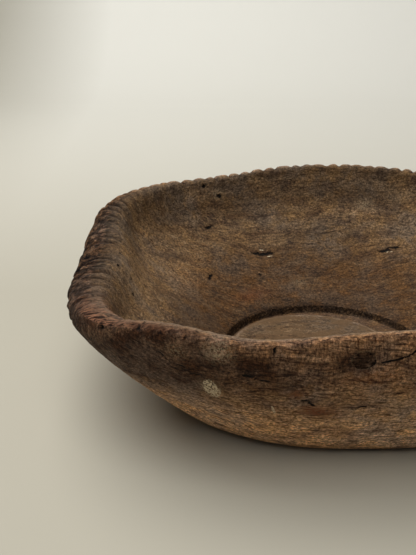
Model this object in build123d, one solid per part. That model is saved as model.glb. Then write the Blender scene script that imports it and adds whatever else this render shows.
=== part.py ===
from build123d import *
import os
from math import atan2, cos, degrees, exp, hypot, pi, radians, sin, tan

# Hand-carved dough bowl, cut from one half log with the grain along X.
# Millimetres, +Z up, base flat on z = 0, front at -Y.

# Plan outline: a squarish oval, measured at the outermost edge of the rim.
LENGTH = 480.0
WIDTH = 436.0
SQUARENESS = 3.05
# Places where the outline was left fuller: direction, spread (degrees), extra radius.
PLAN_SWELLS = ((152, 13, 5.0), (31, 15, 3.0))

# Rim crest: mean height, saddle (sides up, ends down), lift of the back over the front.
CREST_HEIGHT = 130.6
SADDLE = 9.2
BACK_LIFT = 3.8
# Waves left by the adze: direction, spread (degrees), rise.
CREST_WAVES = (
    (207, 9, -3.5), (220, 6, -2.5), (232, 9, 5.0), (248, 12, -3.4), (275, 16, 3.4),
    (84, 22, 2.2), (118, 14, -4.5), (150, 14, 4.5), (322, 14, -2.5), (35, 16, 2.0),
)

# Rim section: thin along the sides, thick over the two end-grain ends.
SIDE_RIM = 9.0
END_RIM = 33.0
SIDE_ROUND_DROP = 3.0
END_ROUND_DROP = 22.0
SIDE_INNER_DROP = 2.3
END_INNER_DROP = 7.5
CREST_SHARE = 0.72

# Outer wall: the foot before its edge is eased, rounder than the rim, and how full the
# wall swells above it.
BASE_LENGTH = 298.0
BASE_WIDTH = 278.0
BASE_SQUARENESS = 2.5
END_FULLNESS = 1.17
SIDE_FULLNESS = 1.5
BASE_EASE = 6.0
BASE_TRIM = 3.0

# Inner wall, steep along the sides and dished at the ends, and the round recess in the floor.
SIDE_INNER_FULLNESS = 2.3
END_INNER_FULLNESS = 1.25
RECESS_RADIUS = 91.0
RECESS_X = -16.0
RECESS_Y = -5.0
FLOOR_EDGE_HEIGHT = 29.0
RECESS_DEPTH = 4.5
RECESS_FLARE = 1.5
WALL_RUN_IN = 6.0

# Low worn disc left standing in the recess, off centre: the groove round its top edge is uneven.
LEFT_GROOVE = 7.5
RIGHT_GROOVE = 29.5
BOSS_RADIUS = RECESS_RADIUS - (LEFT_GROOVE + RIGHT_GROOVE) / 2
BOSS_X = RECESS_X - (RIGHT_GROOVE - LEFT_GROOVE) / 2
BOSS_Y = -2.5
BOSS_RISE = 3.5
BOSS_BEVEL = 5.0

# V-shaped knife cuts round the outer arris of the rim.
NOTCH_COUNT = 112
SIDE_NOTCH_DEPTH = 2.2
END_NOTCH_DEPTH = 3.4
NOTCH_CUTTER = 9.0
NOTCH_LENGTH = 1.4 * END_RIM
SIDE_NOTCH_SLOPE = 64.0
END_NOTCH_SLOPE = 45.0

# Dead knot: a tapered peg of older wood through the front wall, shrunk loose in its hole.
KNOT_X = -20.0
KNOT_HEIGHT = 119.0
KNOT_RADIUS = 7.5
KNOT_TAPER_ANGLE = 5.0
KNOT_GAP = 0.2

# Loft set-out: upright sections in each half turn, the stations up the outer wall and
# down the inner one where each section is fixed, and the plug that fills the middle.
SECTIONS_PER_HALF = 37
WALL_STATIONS = [0.0, 0.12, 0.34, 0.67, 1.0]
INSIDE_STATIONS = [0.0, 0.25, 0.5, 0.75, 1.0]
OUTER_BEVELS = (30, 60, 90)
INNER_BEVELS = (45, 0)
PLUG_RADIUS = RECESS_RADIUS / 2
PLUG_LAP = 8.0


def bump(t, direction, spread):
    """Bell-shaped weight, 1 in the given direction and fading over the spread."""
    away = (degrees(t) - direction + 180) % 360 - 180
    return exp(-(away / spread) ** 2)


def oval_radius(t, length, width, squareness):
    """Plan radius of a squarish oval at angle t."""
    along = abs(cos(t) / (length / 2)) ** squareness
    across = abs(sin(t) / (width / 2)) ** squareness
    return (along + across) ** (-1 / squareness)


def rim_radius(t):
    """Plan radius of the outermost rim edge at angle t."""
    swell = sum(extra * bump(t, at, spread) for at, spread, extra in PLAN_SWELLS)
    return oval_radius(t, LENGTH, WIDTH, SQUARENESS) + swell


def crest_height(t):
    """Height of the rim crest at angle t."""
    waves = sum(rise * bump(t, at, spread) for at, spread, rise in CREST_WAVES)
    return CREST_HEIGHT - SADDLE * cos(2 * t) + BACK_LIFT * sin(t) + waves


def endness(t):
    """0 along the sides, 1 over the end-grain ends."""
    return abs(cos(t)) ** 3


def blend(side, end, share):
    return side + (end - side) * share


def rim_section(t):
    """Outermost radius and height, crest radius and height, inner radius and height."""
    outer = rim_radius(t)
    crest = crest_height(t)
    wide = blend(SIDE_RIM, END_RIM, endness(t))
    drop = blend(SIDE_ROUND_DROP, END_ROUND_DROP, endness(t))
    inner_drop = blend(SIDE_INNER_DROP, END_INNER_DROP, endness(t))
    return outer, crest - drop, outer - CREST_SHARE * wide, crest, outer - wide, crest - inner_drop


def outer_wall_radius(t, height):
    """Radius of the outer wall at a height above the base."""
    outer, outer_height = rim_section(t)[:2]
    foot = oval_radius(t, BASE_LENGTH, BASE_WIDTH, BASE_SQUARENESS)
    fullness = blend(SIDE_FULLNESS, END_FULLNESS, cos(t) ** 2)
    rise = min(1.0, height / outer_height)
    return blend(foot, outer, 1 - (1 - rise) ** fullness)


def run_in_radius(t):
    """Distance from the axis to the circle where the inner wall meets the floor."""
    reach = RECESS_RADIUS - WALL_RUN_IN
    ahead = RECESS_X * cos(t) + RECESS_Y * sin(t)
    aside = RECESS_X * sin(t) - RECESS_Y * cos(t)
    return ahead + (reach ** 2 - aside ** 2) ** 0.5


def section(t):
    """Closed section of the wall in the upright plane at angle t."""
    def at(radius, height):
        return Vector(radius * cos(t), radius * sin(t), height)

    outer, outer_height, crest_radius, crest, inner, inner_height = rim_section(t)
    foot = run_in_radius(t)
    wall = [at(outer_wall_radius(t, 0) - BASE_EASE, -BASE_TRIM)]
    for share in WALL_STATIONS[1:]:
        wall.append(at(outer_wall_radius(t, share * outer_height), share * outer_height))
    inside = []
    fullness = blend(SIDE_INNER_FULLNESS, END_INNER_FULLNESS, endness(t))
    for share in INSIDE_STATIONS:
        radius = blend(inner, foot, share ** fullness)
        inside.append(at(radius, blend(inner_height, FLOOR_EDGE_HEIGHT, share)))
    rim = [wall[-1]]
    for arc in map(radians, OUTER_BEVELS):
        rim.append(at(blend(crest_radius, outer, cos(arc)), blend(outer_height, crest, sin(arc))))
    for arc in map(radians, INNER_BEVELS):
        rim.append(at(blend(crest_radius, inner, cos(arc)), blend(inner_height, crest, sin(arc))))
    hub_low = at(PLUG_RADIUS, -BASE_TRIM)
    hub_high = at(PLUG_RADIUS, FLOOR_EDGE_HEIGHT)
    bevels = [Edge.make_line(start, end) for start, end in zip(rim, rim[1:])]
    return Wire([
        Edge.make_line(hub_low, wall[0]),
        Edge.make_spline(wall, parameters=WALL_STATIONS),
        *bevels,
        Edge.make_spline(inside, parameters=INSIDE_STATIONS),
        Edge.make_line(inside[-1], hub_high),
        Edge.make_line(hub_high, hub_low),
    ])


def carved_blank():
    """Wall lofted round in two halves, closed by a plug and trimmed flat underneath."""
    blank = Pos(0, 0, -BASE_TRIM) * Cylinder(
        PLUG_RADIUS + PLUG_LAP, FLOOR_EDGE_HEIGHT, align=(Align.CENTER, Align.CENTER, Align.MIN))
    for start in (0, pi):
        turns = [start + pi * i / (SECTIONS_PER_HALF - 1) for i in range(SECTIONS_PER_HALF)]
        blank += Solid.make_loft([section(t) for t in turns], ruled=True)
    below = Box(2 * LENGTH, 2 * LENGTH, LENGTH, align=(Align.CENTER, Align.CENTER, Align.MAX))
    return blank - below


def recess():
    """Round cutter for the floor, flared a little towards the top."""
    floor = FLOOR_EDGE_HEIGHT - RECESS_DEPTH
    tall = 2 * RECESS_DEPTH
    cutter = Cone(RECESS_RADIUS - RECESS_FLARE, RECESS_RADIUS + RECESS_FLARE, tall,
                  align=(Align.CENTER, Align.CENTER, Align.MIN))
    return Pos(RECESS_X, RECESS_Y, floor) * cutter


def boss():
    """Low disc with a worn, sloping edge that stands in the recess, grown from the floor."""
    floor = FLOOR_EDGE_HEIGHT - RECESS_DEPTH
    disc = Cone(BOSS_RADIUS + 2 * BOSS_BEVEL, BOSS_RADIUS, 2 * BOSS_RISE)
    return Pos(BOSS_X, BOSS_Y, floor) * disc


def rim_notches():
    """Gouge cutters spaced evenly along the rim, square to it."""
    fine = 1440
    turns = [2 * pi * i / fine for i in range(fine + 1)]
    points = [(rim_radius(t) * cos(t), rim_radius(t) * sin(t)) for t in turns]
    run = [0.0]
    for (x0, y0), (x1, y1) in zip(points, points[1:]):
        run.append(run[-1] + hypot(x1 - x0, y1 - y0))
    cutters = []
    step = 0
    for notch in range(NOTCH_COUNT):
        wanted = run[-1] * (notch + 0.5) / NOTCH_COUNT
        while run[step + 1] < wanted:
            step += 1
        t = turns[step]
        (x0, y0), (x1, y1) = points[step], points[step + 1]
        facing = atan2(x0 - x1, y1 - y0)
        cutters.append(notch_cutter(t, facing))
    return cutters


def notch_cutter(t, facing):
    """One V cut that slopes down and out across the rim's outer round."""
    outer, outer_height, crest_radius, crest = rim_section(t)[:4]
    share = endness(t)
    depth = blend(SIDE_NOTCH_DEPTH, END_NOTCH_DEPTH, share)
    slope = radians(blend(SIDE_NOTCH_SLOPE, END_NOTCH_SLOPE, share))
    arc = radians(45)
    touch = blend(crest_radius, outer, cos(arc))
    height = blend(outer_height, crest, sin(arc))
    out = Vector(cos(facing), sin(facing), 0)
    normal = out * sin(slope) + Vector(0, 0, cos(slope))
    along = Vector(0, 0, -sin(slope)) + out * cos(slope)
    lift = NOTCH_CUTTER / 2 ** 0.5 - depth
    centre = Vector(touch * cos(t), touch * sin(t), height) + normal * lift
    cutter = Rot(0, 0, 45) * Box(NOTCH_CUTTER, NOTCH_CUTTER, NOTCH_LENGTH)
    return Plane(centre, x_dir=normal, z_dir=along) * cutter


def knot_peg(grow):
    """Tapered peg along Y through the front wall, grown by a clearance."""
    reach = 6 * SIDE_RIM
    taper = reach * tan(radians(KNOT_TAPER_ANGLE))
    wide = KNOT_RADIUS + taper / 2 + grow
    peg = Cone(wide, wide - taper, reach)
    front = -outer_wall_radius(-pi / 2, KNOT_HEIGHT)
    return Plane((KNOT_X, front, KNOT_HEIGHT), z_dir=(0, 1, 0)) * peg


def make_parts():
    carved = carved_blank() - recess() + boss() - rim_notches()
    knot = carved & knot_peg(0)
    bowl = carved - knot_peg(KNOT_GAP)
    return {"bowl_body": bowl, "dead_knot": knot}


os.makedirs("parts", exist_ok=True)
for name, shape in make_parts().items():
    export_step(shape, f"parts/{name}.step")
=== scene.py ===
from itertools import product
from math import atan2, cos, pi, radians, sin, tan

import bpy
import numpy as np
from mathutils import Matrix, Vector


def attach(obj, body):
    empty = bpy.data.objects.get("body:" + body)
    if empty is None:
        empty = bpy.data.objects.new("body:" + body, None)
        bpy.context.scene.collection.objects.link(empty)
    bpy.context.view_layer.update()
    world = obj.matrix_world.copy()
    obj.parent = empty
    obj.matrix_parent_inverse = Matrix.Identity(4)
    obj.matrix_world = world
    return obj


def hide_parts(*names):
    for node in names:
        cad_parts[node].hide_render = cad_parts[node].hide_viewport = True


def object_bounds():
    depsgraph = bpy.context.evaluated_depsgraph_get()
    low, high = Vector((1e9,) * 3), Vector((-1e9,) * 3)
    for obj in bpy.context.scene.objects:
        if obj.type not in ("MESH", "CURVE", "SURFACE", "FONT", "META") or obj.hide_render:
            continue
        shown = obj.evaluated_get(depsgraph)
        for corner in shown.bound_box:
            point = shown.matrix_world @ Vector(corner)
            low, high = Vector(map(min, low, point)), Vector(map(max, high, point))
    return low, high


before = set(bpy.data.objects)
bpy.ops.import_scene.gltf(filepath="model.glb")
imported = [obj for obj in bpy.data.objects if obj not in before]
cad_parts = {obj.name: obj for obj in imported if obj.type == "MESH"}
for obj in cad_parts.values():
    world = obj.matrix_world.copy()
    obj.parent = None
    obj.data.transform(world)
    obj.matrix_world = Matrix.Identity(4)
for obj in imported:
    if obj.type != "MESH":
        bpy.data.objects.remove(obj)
cad_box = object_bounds()

# Old hand-carved dough bowl. Sizes are in millimetres, as in the part, and MM turns them to metres.
# +Z is up, +X runs along the grain and the front wall with the knot is at -Y.
MM = 0.001

# Plan outline at the outermost edge of the rim.
LENGTH = 480.0
WIDTH = 436.0
SQUARENESS = 3.05
PLAN_SWELLS = ((152, 13, 5.0), (31, 15, 3.0))

# Rim crest.
CREST_HEIGHT = 130.6
SADDLE = 9.2
BACK_LIFT = 3.8
CREST_WAVES = (
    (207, 9, -3.5), (220, 6, -2.5), (232, 9, 5.0), (248, 12, -3.4), (275, 16, 3.4),
    (84, 22, 2.2), (118, 14, -4.5), (150, 14, 4.5), (322, 14, -2.5), (35, 16, 2.0),
)

# Rim section, thin along the sides and thick over the end grain.
SIDE_RIM = 9.0
END_RIM = 33.0
SIDE_ROUND_DROP = 3.0
END_ROUND_DROP = 22.0
SIDE_INNER_DROP = 2.3
END_INNER_DROP = 7.5
CREST_SHARE = 0.72

# Walls, foot and the recess in the floor.
BASE_LENGTH = 298.0
BASE_WIDTH = 278.0
BASE_SQUARENESS = 2.5
END_FULLNESS = 1.17
SIDE_FULLNESS = 1.5
BASE_EASE = 6.0
EASE_SHARE = 0.12
SIDE_INNER_FULLNESS = 2.3
END_INNER_FULLNESS = 1.25
RECESS_RADIUS = 91.0
RECESS_X = -16.0
RECESS_Y = -5.0
FLOOR_EDGE_HEIGHT = 29.0
RECESS_DEPTH = 4.5
WALL_RUN_IN = 6.0
LEFT_GROOVE = 7.5
RIGHT_GROOVE = 29.5
BOSS_RADIUS = RECESS_RADIUS - (LEFT_GROOVE + RIGHT_GROOVE) / 2
BOSS_X = RECESS_X - (RIGHT_GROOVE - LEFT_GROOVE) / 2
BOSS_Y = -2.5
BOSS_RISE = 3.5
BOSS_BEVEL = 5.0
GROOVE_HEIGHT = FLOOR_EDGE_HEIGHT - RECESS_DEPTH

# Knife cuts round the rim.
NOTCH_COUNT = 112
NOTCH_HALF_WIDTH = 2.3
SIDE_NOTCH_DEPTH = 2.0
END_NOTCH_DEPTH = 3.2

# Dead knot in the front wall.
KNOT_X = -20.0
KNOT_HEIGHT = 119.0
KNOT_RADIUS = 7.5
KNOT_TAPER_ANGLE = 5.0
KNOT_GAP = 0.2
KNOT_SIDES = 48
PEG_REACH = 54.0

# Mesh density: columns round the rim, half as many on the walls, and the shares of the
# outer and inner wall next to the rim that take the finer columns.
COLUMNS_PER_NOTCH = 8
RIM_COLUMNS = NOTCH_COUNT * COLUMNS_PER_NOTCH
WALL_COLUMNS = RIM_COLUMNS // 2
RIM_BAND = 0.84
INNER_BAND = 0.1
# Rows of points on each stretch, from the foot over the rim to the disc.
OUTER_ROWS = 46
OUTER_BAND_ROWS = 10
ROUND_OVER_ROWS = 13
SHOULDER_ROWS = 9
INNER_BAND_ROWS = 3
INNER_ROWS = 62
GROOVE_ROWS = 6
DISC_ROWS = 10
# Underside: share of the way out and columns of each row. Disc: radii where its even rows start and
# end, then the radius of each row in the middle and how many columns become one.
BASE_RINGS = ((0.2, NOTCH_COUNT), (0.5, NOTCH_COUNT), (0.75, 2 * NOTCH_COUNT), (0.9, WALL_COLUMNS))
DISC_BAND = (BOSS_RADIUS - 10, 24)
DISC_MIDDLE = ((20, 2), (15, 2), (10, 4), (5, 4))

# Shape of the rim's top: below 1 the round-over is squarer. The shoulder is the share of the inner
# wall that is rounded off, and its ease is how full the curve is. The torn corner is at the front left.
SIDE_SQUARE = 0.55
SIDE_SHOULDER = 0.05
END_SHOULDER = 0.42
SHOULDER_EASE = 0.4
TORN_TURN = 218
TORN_SPREAD = 10
TORN_SQUARE = 0.28
LEFT_END_TURN = 185

# Tool marks and wear: facets of the adze and broken chunks of end grain, along the rim and up, then
# depths. CREASE_WIDTH is a share of a chunk, and PIT_DEPTH is for each unit of a pit's amount.
ADZE_FACET = (30, 19)
OUTER_ADZE = 0.9
INNER_ADZE = 0.35
CHUNK = (9.0, 15.0)
CREASE_WIDTH = 0.2
CREASE_DEPTH = 1.7
CHUNK_DEPTH = 1.3
LUMP_DEPTH = 2.6
PIT_DEPTH = 0.6
# A distance beyond all cells or marks.
FAR_OFF = 9.0

# Worn edges of the recess. Step: distance inwards and share of the way down. Disc: distance
# outwards from its top edge and share of its rise.
STEP_PROFILE = ((0.3, 0.06), (0.7, 0.2), (1.0, 0.42), (1.2, 0.65), (1.5, 0.85), (1.9, 1.0))
BOSS_PROFILE = ((5.0, 0.0), (3.9, 0.16), (2.6, 0.42), (1.3, 0.72), (0.5, 0.92), (0.0, 1.0),
                (-1.2, 1.02), (-3.5, 0.97), (-7.0, 0.92))

# Camera of the photograph, for a frame 416 wide and 555 high.
FRAME_HEIGHT_PX = 555.0
FOCAL_PX = 873.9
CAMERA_AT = (-122.6, -731.5, 377.6)
CAMERA_PITCH = 21.15

# Bake map, in shares of its side. The bowl has two round charts, the knot two caps and a strip, and
# the knot's hole a small strip in a free corner of the bowl's map. CAP_MAP_SIDE is in millimetres.
CHART_RADIUS = 0.285
OUTSIDE_CHART = 0.293
INSIDE_CHART = 0.707
CAP_MAP_SIDE = 40
CAP_FACING = 0.4
FRONT_CAP = (0.25, 0.25)
BACK_CAP = (0.75, 0.25)
STRIP_SPAN = 0.9
STRIP_FOOT = 0.55
STRIP_RISE = 0.4
HOLE_CORNER = (0.02, 0.82)
HOLE_SIDE = 0.16

# Colours of the wood, as linear red, green and blue. Bands start with their place in the grain, and
# flat colours end with their opacity.
WOOD_BANDS = (
    (0.32, (0.066, 0.035, 0.017)), (0.46, (0.105, 0.061, 0.030)),
    (0.56, (0.138, 0.085, 0.043)), (0.72, (0.200, 0.132, 0.074)),
)
KNOT_BANDS = (
    (0.36, (0.003, 0.002, 0.0015)), (0.52, (0.008, 0.0045, 0.0035)), (0.68, (0.024, 0.013, 0.010)),
)
GREYED = (0.118, 0.087, 0.061, 1)
AMBER = (0.175, 0.102, 0.044, 1)
DARKENED = (0.045, 0.027, 0.017, 1)
PORE = (0.022, 0.011, 0.006, 1)
# Painted shade: near black in the middle of the pits and cracks.
HOLE_SHADE = (0.004, 0.0025, 0.0015, 1)
KNOT_RING = (0.014, 0.0075, 0.005, 1)
TORN_WOOD = (0.250, 0.118, 0.066, 1)
RUST = (0.150, 0.046, 0.018, 1)
RESIDUE = (0.46, 0.36, 0.225, 1)
PALE_SPOT = (0.560, 0.455, 0.305, 1)
HEALED_RING = (0.300, 0.165, 0.066, 1)
# Rubbed crest and disc edge, partly wear and partly a painted highlight.
RUBBED_AND_HIGHLIGHT = (0.300, 0.210, 0.145, 1)
WORN_DISC = (0.112, 0.067, 0.035, 1)


def bump(t, direction, spread):
    """Bell-shaped weight, 1 in the given direction and fading over the spread."""
    away = (np.degrees(t) - direction + 180) % 360 - 180
    return np.exp(-(away / spread) ** 2)


def blend(side, end, share):
    return side + (end - side) * share


def oval_radius(t, length, width, squareness):
    along = np.abs(np.cos(t) / (length / 2)) ** squareness
    across = np.abs(np.sin(t) / (width / 2)) ** squareness
    return (along + across) ** (-1 / squareness)


def rim_radius(t):
    swell = sum(extra * bump(t, at, spread) for at, spread, extra in PLAN_SWELLS)
    return oval_radius(t, LENGTH, WIDTH, SQUARENESS) + swell


def crest_height(t):
    waves = sum(rise * bump(t, at, spread) for at, spread, rise in CREST_WAVES)
    return CREST_HEIGHT - SADDLE * np.cos(2 * t) + BACK_LIFT * np.sin(t) + waves


def endness(t):
    """0 along the sides, 1 over the end-grain ends."""
    return np.abs(np.cos(t)) ** 3


def rim_section(t):
    """Outermost radius and height, crest radius and height, inner radius and height."""
    outer = rim_radius(t)
    crest = crest_height(t)
    wide = blend(SIDE_RIM, END_RIM, endness(t))
    drop = blend(SIDE_ROUND_DROP, END_ROUND_DROP, endness(t))
    inner_drop = blend(SIDE_INNER_DROP, END_INNER_DROP, endness(t))
    return outer, crest - drop, outer - CREST_SHARE * wide, crest, outer - wide, crest - inner_drop


def outer_wall_radius(t, share):
    """Radius of the outer wall at a share of the height of its top edge, eased at the foot."""
    foot = oval_radius(t, BASE_LENGTH, BASE_WIDTH, BASE_SQUARENESS)
    fullness = blend(SIDE_FULLNESS, END_FULLNESS, np.cos(t) ** 2)
    ease = BASE_EASE * np.maximum(0, 1 - share / EASE_SHARE) ** 2
    return blend(foot, rim_radius(t), 1 - (1 - share) ** fullness) - ease


def circle_reach(t, radius):
    """Distance from the axis, along t, to a circle round the recess centre."""
    ahead = RECESS_X * np.cos(t) + RECESS_Y * np.sin(t)
    aside = RECESS_X * np.sin(t) - RECESS_Y * np.cos(t)
    return ahead + np.sqrt(radius ** 2 - aside ** 2)


def inner_radius(t, down):
    """Radius of the inner wall at a share of the way down from the rim to the floor."""
    foot = circle_reach(t, RECESS_RADIUS - WALL_RUN_IN)
    fullness = blend(SIDE_INNER_FULLNESS, END_INNER_FULLNESS, endness(t))
    return blend(rim_section(t)[4], foot, down ** fullness)


def inner_wall(t, share):
    """Radius and height of the inner wall, from the rim (0) to the recess edge (1)."""
    inner, inner_height = rim_section(t)[4:]
    foot = circle_reach(t, RECESS_RADIUS - WALL_RUN_IN)
    fullness = blend(SIDE_INNER_FULLNESS, END_INNER_FULLNESS, endness(t))
    edge = ((inner - circle_reach(t, RECESS_RADIUS)) / (inner - foot)) ** (1 / fullness)
    return inner_radius(t, share * edge), blend(inner_height, FLOOR_EDGE_HEIGHT, share * edge)


def rim_path():
    """Fine angles round the rim, and the distance run along it to each."""
    fine = np.linspace(0, 2 * pi, 20001)
    x = rim_radius(fine) * np.cos(fine)
    y = rim_radius(fine) * np.sin(fine)
    return fine, np.concatenate(([0], np.cumsum(np.hypot(np.diff(x), np.diff(y)))))


RIM_TURNS, RIM_RUN = rim_path()
NOTCH_PITCH = RIM_RUN[-1] / NOTCH_COUNT


def even_turns(count):
    """Angles of columns spaced evenly along the rim."""
    return np.interp(np.arange(count) / count * RIM_RUN[-1], RIM_RUN, RIM_TURNS)


def polar(radius, t, height):
    return np.stack([radius * np.cos(t), radius * np.sin(t), height + 0 * t], axis=1)


def lattice(points, seed):
    """Smooth random field between -1 and 1, the same on every run. Primes scatter the cells."""
    base = np.floor(points).astype(np.int64)
    part = points - base
    part = part * part * (3 - 2 * part)
    total = np.zeros(len(points))
    for corner in product((0, 1), repeat=3):
        cell = base + np.array(corner)
        code = cell[:, 0] * 374761393 + cell[:, 1] * 668265263 + cell[:, 2] * 1442695041 + seed * 974711
        code = ((code ^ (code >> 13)) * 1274126177) & 0x7FFFFFFF
        code = ((code ^ (code >> 16)) * 668265263) & 0x7FFFFFFF
        weight = np.prod(np.where(np.array(corner), part, 1 - part), axis=1)
        total += weight * (((code >> 8) & 0xFFFF) / 32767.5 - 1)
    return total


def cloud(points, size, seed, octaves=3):
    """Layered field whose largest lumps have the given size."""
    size = np.array(size, float)
    total = np.zeros(len(points))
    for octave in range(octaves):
        total += lattice(points / size * 2 ** octave + 17.3 * octave, seed + octave) / 2 ** octave
    return total / (2 - 2 ** (1 - octaves))


class Rings:
    """Rows of points from the middle of the underside, up over the rim, to the middle of the floor."""

    def __init__(self):
        self.rows = []
        self.zones = []
        self.arcs = []
        self.turns = {}

    def columns(self, count):
        if count not in self.turns:
            self.turns[count] = even_turns(count)
        return self.turns[count]

    def add(self, zone, points, arc=0.0):
        """arc says how far round the rim the row lies: 0 outermost edge, 90 crest, 180 inner edge."""
        self.rows.append(points)
        self.zones.append(zone)
        self.arcs.append(arc)


def outside_rows(rings):
    """Flat underside and outer wall."""
    for share, count in BASE_RINGS:
        t = rings.columns(count)
        rings.add("base", polar(share * outer_wall_radius(t, 0.0 * t), t, 0))
    low = np.linspace(0, RIM_BAND, OUTER_ROWS + 1)[:-1]
    high = np.linspace(RIM_BAND, 1, OUTER_BAND_ROWS + 1)[:-1]
    for shares, count in ((low, WALL_COLUMNS), (high, RIM_COLUMNS)):
        t = rings.columns(count)
        for share in shares:
            rings.add("outside", polar(outer_wall_radius(t, share + 0 * t), t, share * rim_section(t)[1]))


def shoulder(t):
    """Share of the inner wall that is taken up by the worn shoulder under the crest."""
    return blend(SIDE_SHOULDER, END_SHOULDER, endness(t))


def rim_rows(rings):
    """Round-over from the outermost edge to the crest, then a smooth shoulder into the inner wall."""
    t = rings.columns(RIM_COLUMNS)
    outer, outer_height, crest_radius, crest = rim_section(t)[:4]
    square = blend(blend(SIDE_SQUARE, 1.0, endness(t)), TORN_SQUARE, bump(t, TORN_TURN, TORN_SPREAD))
    for arc in np.linspace(0, 90, ROUND_OVER_ROWS):
        radius = blend(crest_radius, outer, max(0, cos(radians(arc))) ** square)
        rings.add("rim", polar(radius, t, blend(outer_height, crest, sin(radians(arc)) ** square)), arc)
    low_radius, low_height = inner_wall(t, shoulder(t))
    next_radius, next_height = inner_wall(t, shoulder(t) + 0.01)
    reach = SHOULDER_EASE * np.hypot(low_radius - crest_radius, low_height - crest)
    slope = np.hypot(next_radius - low_radius, next_height - low_height)
    over = (crest_radius - reach, crest)
    lean = reach / slope
    under = (low_radius - lean * (next_radius - low_radius), low_height - lean * (next_height - low_height))
    for share in np.linspace(0, 1, SHOULDER_ROWS + 1)[1:]:
        weights = ((1 - share) ** 3, 3 * share * (1 - share) ** 2, 3 * share ** 2 * (1 - share), share ** 3)
        radius = sum(w * r for w, r in zip(weights, (crest_radius, over[0], under[0], low_radius)))
        height = sum(w * z for w, z in zip(weights, (crest, over[1], under[1], low_height)))
        rings.add("rim", polar(radius, t, height), 90 + 90 * share)


def inside_rows(rings):
    """Inner wall from the shoulder down to the edge of the recess."""
    high = np.linspace(0, INNER_BAND, INNER_BAND_ROWS + 2)[1:-1]
    low = np.linspace(INNER_BAND, 1, INNER_ROWS)
    for shares, count in ((high, RIM_COLUMNS), (low, WALL_COLUMNS)):
        t = rings.columns(count)
        for share in shares:
            radius, height = inner_wall(t, blend(shoulder(t), 1, share))
            rings.add("inside", polar(radius, t, height), 180)


def floor_rows(rings):
    """Worn step, groove and the low disc in the middle."""
    edge = rings.rows[-1]
    recess = np.array([RECESS_X, RECESS_Y])
    boss = np.array([BOSS_X, BOSS_Y])
    spoke = np.arctan2(edge[:, 1] - RECESS_Y, edge[:, 0] - RECESS_X)
    ray = np.stack([np.cos(spoke), np.sin(spoke)], axis=1)

    def ring(centre, radius, height, keep=1):
        flat = centre + radius * ray[::keep]
        return np.column_stack([flat, height + 0 * flat[:, 0]])

    top = edge[:, 2]
    for inward, down in STEP_PROFILE:
        rings.add("step", ring(recess, RECESS_RADIUS - inward, blend(top, GROOVE_HEIGHT, down)), 180)
    foot = rings.rows[-1]
    skirt = ring(boss, BOSS_RADIUS + BOSS_BEVEL, GROOVE_HEIGHT)
    for share in np.linspace(0, 1, GROOVE_ROWS + 2)[1:-1]:
        rings.add("groove", blend(foot, skirt, share), 180)
    for outward, up in BOSS_PROFILE:
        rings.add("boss", ring(boss, BOSS_RADIUS + outward, GROOVE_HEIGHT + up * BOSS_RISE), 180)
    level = rings.rows[-1][0, 2]
    for radius in np.linspace(*DISC_BAND, DISC_ROWS):
        rings.add("boss", ring(boss, radius, level), 180)
    for radius, keep in DISC_MIDDLE:
        rings.add("boss", ring(boss, radius, level, keep), 180)


def stitch(rings):
    """Joins the rows into one closed skin. Returns points, faces, and the row of each point and face."""
    points = [np.zeros((1, 3))] + rings.rows + [rings.rows[-1].mean(axis=0, keepdims=True)]
    starts = np.concatenate(([0], np.cumsum([len(row) for row in points])))
    faces = []
    face_rows = []
    for row in range(len(points) - 1):
        a, b = starts[row], starts[row + 1]
        n, m = len(points[row]), len(points[row + 1])
        if n == 1:
            new = [(a, b + (i + 1) % m, b + i) for i in range(m)]
        elif m == 1:
            new = [(a + i, a + (i + 1) % n, b) for i in range(n)]
        elif n == m:
            new = [(a + i, a + (i + 1) % n, b + (i + 1) % n, b + i) for i in range(n)]
        elif m > n:
            new = widen(a, n, b, m)
        else:
            new = [tuple(reversed(face)) for face in widen(b, m, a, n)]
        faces.extend(new)
        face_rows.extend([row] * len(new))
    point_rows = np.repeat(np.arange(len(points)), [len(row) for row in points])
    return np.concatenate(points), faces, point_rows, np.array(face_rows)


def widen(a, n, b, m):
    """Faces between a row of n points and the next one, which has a whole multiple of n."""
    times = m // n
    middle = times // 2
    faces = []
    for i in range(n):
        fan = [b + (i * times + k) % m for k in range(times + 1)]
        for k in range(times):
            apex = a + i if k < middle else a + (i + 1) % n
            faces.append((apex, fan[k + 1], fan[k]))
        faces.append((a + i, a + (i + 1) % n, fan[middle]))
    return faces


class Skin:
    """What the relief and the stains need to know about each point of a surface."""

    def __init__(self, points, normals, zone, arc):
        self.p = points
        self.n = normals
        self.zone = zone
        self.arc = arc
        self.t = np.arctan2(points[:, 1], points[:, 0])
        self.run = np.interp(self.t % (2 * pi), RIM_TURNS, RIM_RUN)
        self.end = endness(self.t)
        self.torn = bump(self.t, TORN_TURN, TORN_SPREAD)
        self.below = np.where(zone == "outside", rim_section(self.t)[1] - points[:, 2], 0)
        self.outer = (zone == "outside") | ((zone == "rim") & (arc < 90))
        self.inner = np.isin(zone, ("inside", "step", "groove", "boss"))


def smooth(low, high, value):
    """Smooth step from 0 at low to 1 at high."""
    share = np.clip((value - low) / (high - low), 0, 1)
    return share * share * (3 - 2 * share)


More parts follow.
